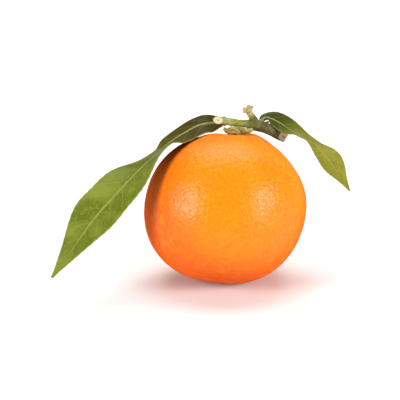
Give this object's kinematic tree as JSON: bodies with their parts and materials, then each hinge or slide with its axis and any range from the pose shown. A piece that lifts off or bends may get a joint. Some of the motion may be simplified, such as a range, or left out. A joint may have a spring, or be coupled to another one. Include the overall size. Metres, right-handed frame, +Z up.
{
  "type": "mandarin",
  "caption": "Mandarin picked with a short cut twig, its calyx and lance-shaped leaves that droop over the sides of the round fruit.",
  "frame": {"origin": "centre of the small flat spot that the fruit rests on", "axes": "+Z up; the stem end leans back towards +Y and a little towards +X; the long leaf droops on the -X side, forwards (-Y)"},
  "size_m": [0.1095, 0.0598, 0.0653],
  "materials": {
    "peel": "waxy citrus peel with fine oil-gland pits",
    "calyx": "matte, pale green to straw brown",
    "bark": "matte green young bark with pale cut ends",
    "leaf": "satin green upper side, paler matte underside"
  },
  "bodies": {
    "root": {"fruit": "peel", "calyx": "calyx", "twig": "bark", "leaf_left": "leaf", "leaf_right": "leaf"}
  },
  "joints": []
}
